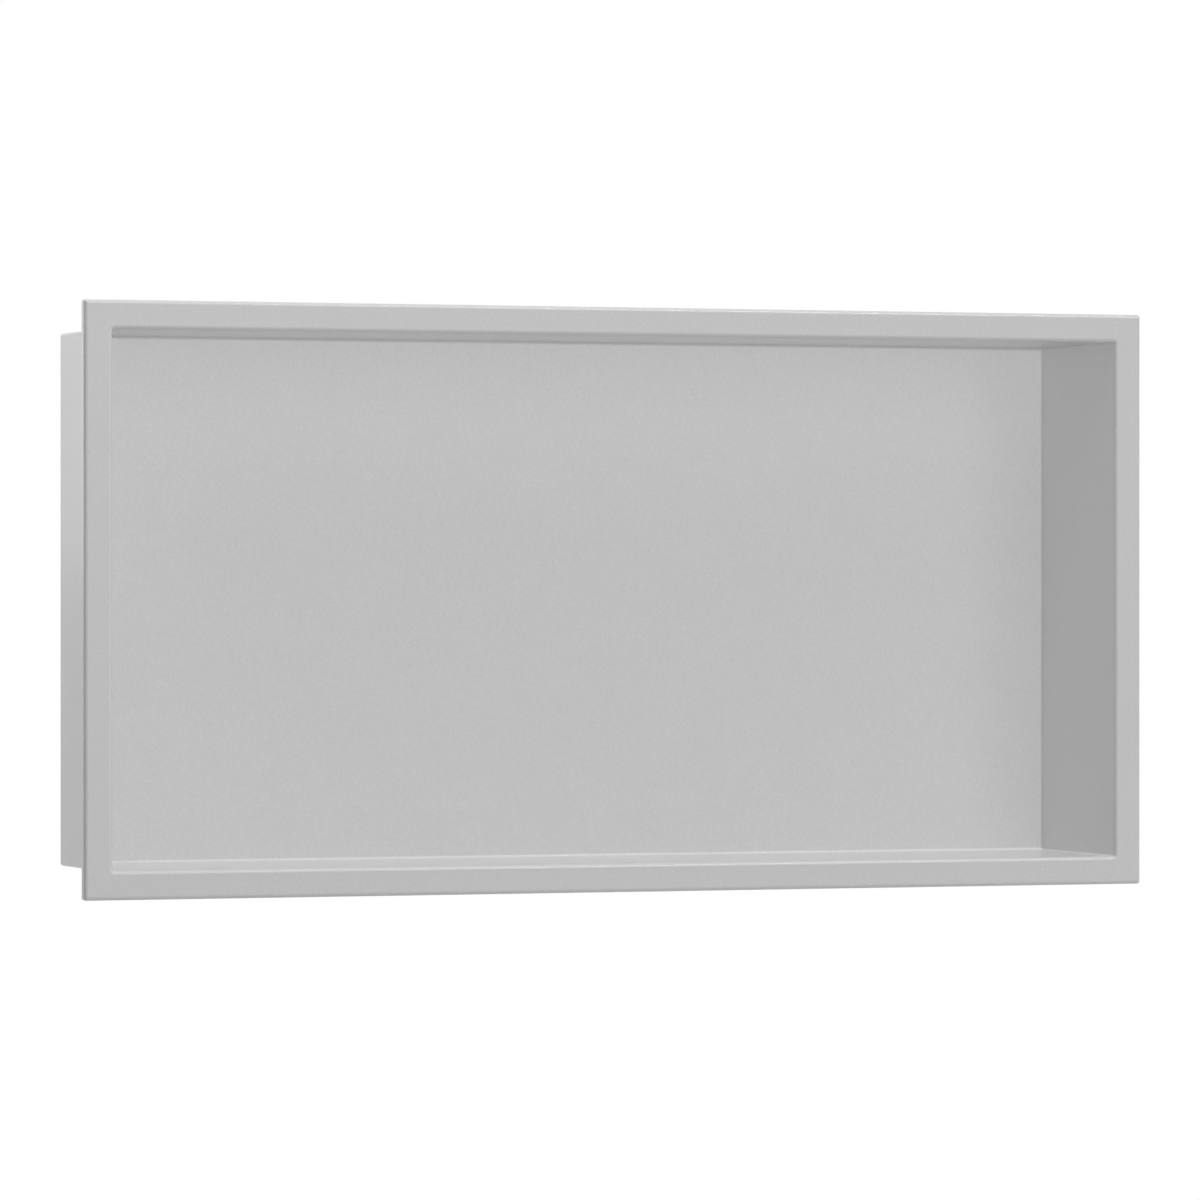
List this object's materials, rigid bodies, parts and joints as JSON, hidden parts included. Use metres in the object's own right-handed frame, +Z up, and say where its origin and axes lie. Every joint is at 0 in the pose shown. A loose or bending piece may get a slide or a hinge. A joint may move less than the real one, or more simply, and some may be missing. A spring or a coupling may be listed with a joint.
{
  "type": "shower niche insert",
  "caption": "Shallow wide five-sided sheet metal box with a folded surround frame, set into a recess in a shower wall as a built-in shelf.",
  "frame": {"origin": "middle of the mouth, in the plane of the finished wall that the frame's turned-back lip rests on", "axes": "+X to the right as the user sees it, +Y into the wall, +Z up"},
  "size_m": [0.626, 0.1052, 0.326],
  "materials": {
    "coated_sheet": "matt fine-grained powder coat, light concrete grey"
  },
  "bodies": {
    "root": {"niche_body": "coated_sheet"}
  },
  "joints": []
}
